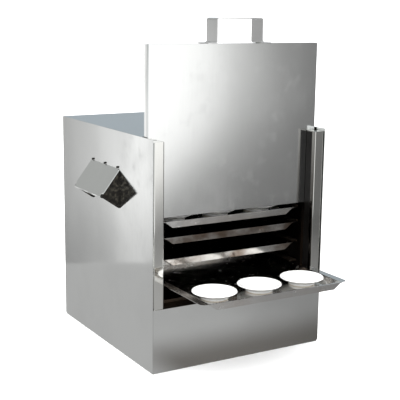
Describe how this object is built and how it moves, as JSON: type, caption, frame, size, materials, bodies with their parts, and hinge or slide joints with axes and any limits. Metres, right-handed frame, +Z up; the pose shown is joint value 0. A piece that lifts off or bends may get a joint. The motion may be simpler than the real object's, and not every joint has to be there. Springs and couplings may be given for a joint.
{
  "type": "electric cabinet smoker",
  "caption": "Table-top steel cabinet smoker with a lift-up door between two posts, sliding food trays, side grips, heating element and chip pan.",
  "frame": {"origin": "middle of the cabinet's footprint on the surface it stands on", "axes": "+X to the right seen from the front, +Y towards the back, +Z up"},
  "size_m": [0.455, 0.5225, 0.623],
  "materials": {
    "outer_panels": "polished stainless steel sheet",
    "posts": "polished stainless steel, folded",
    "door_sheet": "polished stainless steel sheet",
    "door_handle": "polished stainless steel strip",
    "guides": "smoke-darkened steel",
    "lining": "steel blackened by smoke and heat",
    "insulation": "mineral wool slab",
    "runners": "smoke-darkened steel",
    "element": "oxidised sheath",
    "terminals": "plain",
    "inner_pans": "heat-darkened steel",
    "exhaust": "satin",
    "probe": "satin",
    "control_sheet": "satin",
    "thermostat": "zinc plated",
    "black_plastic": "fine texture",
    "red_plastic": "gloss",
    "lamp": "translucent amber",
    "fasteners": "stainless, satin",
    "grip_covers": "polished stainless steel sheet",
    "grip_wood": "dark stained, with open grain",
    "grip_fasteners": "darkened",
    "trays": "polished stainless steel sheet",
    "dishes": "white glaze"
  },
  "bodies": {
    "cabinet": {"side_panel_left": "outer_panels", "side_panel_right": "outer_panels", "front_panel": "outer_panels", "sill_ledge": "outer_panels", "top_panel": "outer_panels", "back_panel": "outer_panels", "base_panel": "outer_panels", "post_left": "posts", "post_right": "posts", "slot_strip_left": "guides", "slot_strip_right": "guides", "door_guide_left": "guides", "door_guide_right": "guides", "lintel": "guides", "liner_left": "lining", "liner_right": "lining", "liner_back": "lining", "liner_top": "lining", "liner_floor": "lining", "liner_front": "lining", "insulation_left": "insulation", "insulation_right": "insulation", "insulation_top": "insulation", "insulation_back": "insulation", "runners_left": "runners", "runners_right": "runners", "drip_ledges": "runners", "element_supports": "runners", "heating_element": "element", "element_terminals": "terminals", "inlet_pins": "terminals", "chip_pan": "inner_pans", "drip_tray": "inner_pans", "exhaust_tube": "exhaust", "temperature_probe": "probe", "control_box": "control_sheet", "thermostat_body": "thermostat", "switch_housing": "black_plastic", "power_inlet": "black_plastic", "pilot_lamp": "lamp", "control_screws": "fasteners", "back_screws": "fasteners", "grip_cover_left": "grip_covers", "grip_cover_right": "grip_covers", "grip_bars": "grip_wood", "grip_cheeks": "grip_wood", "grip_rivets": "grip_fasteners"},
    "door": {"door_panel": "door_sheet", "door_handle": "door_handle", "handle_screws": "fasteners", "handle_nuts": "fasteners"},
    "tray_1": {"tray_1": "trays", "dishes_upper": "dishes"},
    "tray_2": {"tray_2": "trays"},
    "tray_3": {"tray_3": "trays"},
    "tray_4": {"tray_4": "trays", "dishes_lower": "dishes"},
    "knob": {"thermostat_knob": "black_plastic"},
    "switch": {"power_switch": "red_plastic"}
  },
  "joints": [
    {"name": "door_slide", "type": "slide", "parent": "cabinet", "child": "door", "axis": [0, 0, 1], "range_m": [-0.157, 0]},
    {"name": "tray_1_slide", "type": "slide", "parent": "cabinet", "child": "tray_1", "axis": [0, -1, 0], "range_m": [-0.046, 0.154]},
    {"name": "tray_2_slide", "type": "slide", "parent": "cabinet", "child": "tray_2", "axis": [0, -1, 0], "range_m": [-0.046, 0.154]},
    {"name": "tray_3_slide", "type": "slide", "parent": "cabinet", "child": "tray_3", "axis": [0, -1, 0], "range_m": [-0.046, 0.154]},
    {"name": "tray_4_slide", "type": "slide", "parent": "cabinet", "child": "tray_4", "axis": [0, -1, 0], "range_m": [-0.201, 0]},
    {"name": "thermostat_turn", "type": "hinge", "parent": "cabinet", "child": "knob", "pos_m": [0.217, 0.069, 0.078], "axis": [-1, 0, 0], "range_deg": [0, 270]},
    {"name": "switch_rock", "type": "hinge", "parent": "cabinet", "child": "switch", "pos_m": [0.215, 0.119, 0.084], "axis": [0, 1, 0], "range_deg": [0, 16]}
  ],
  "couplings": [
    {"joint": "tray_4_slide", "follows": "door_slide", "ratio": 1.28}
  ]
}
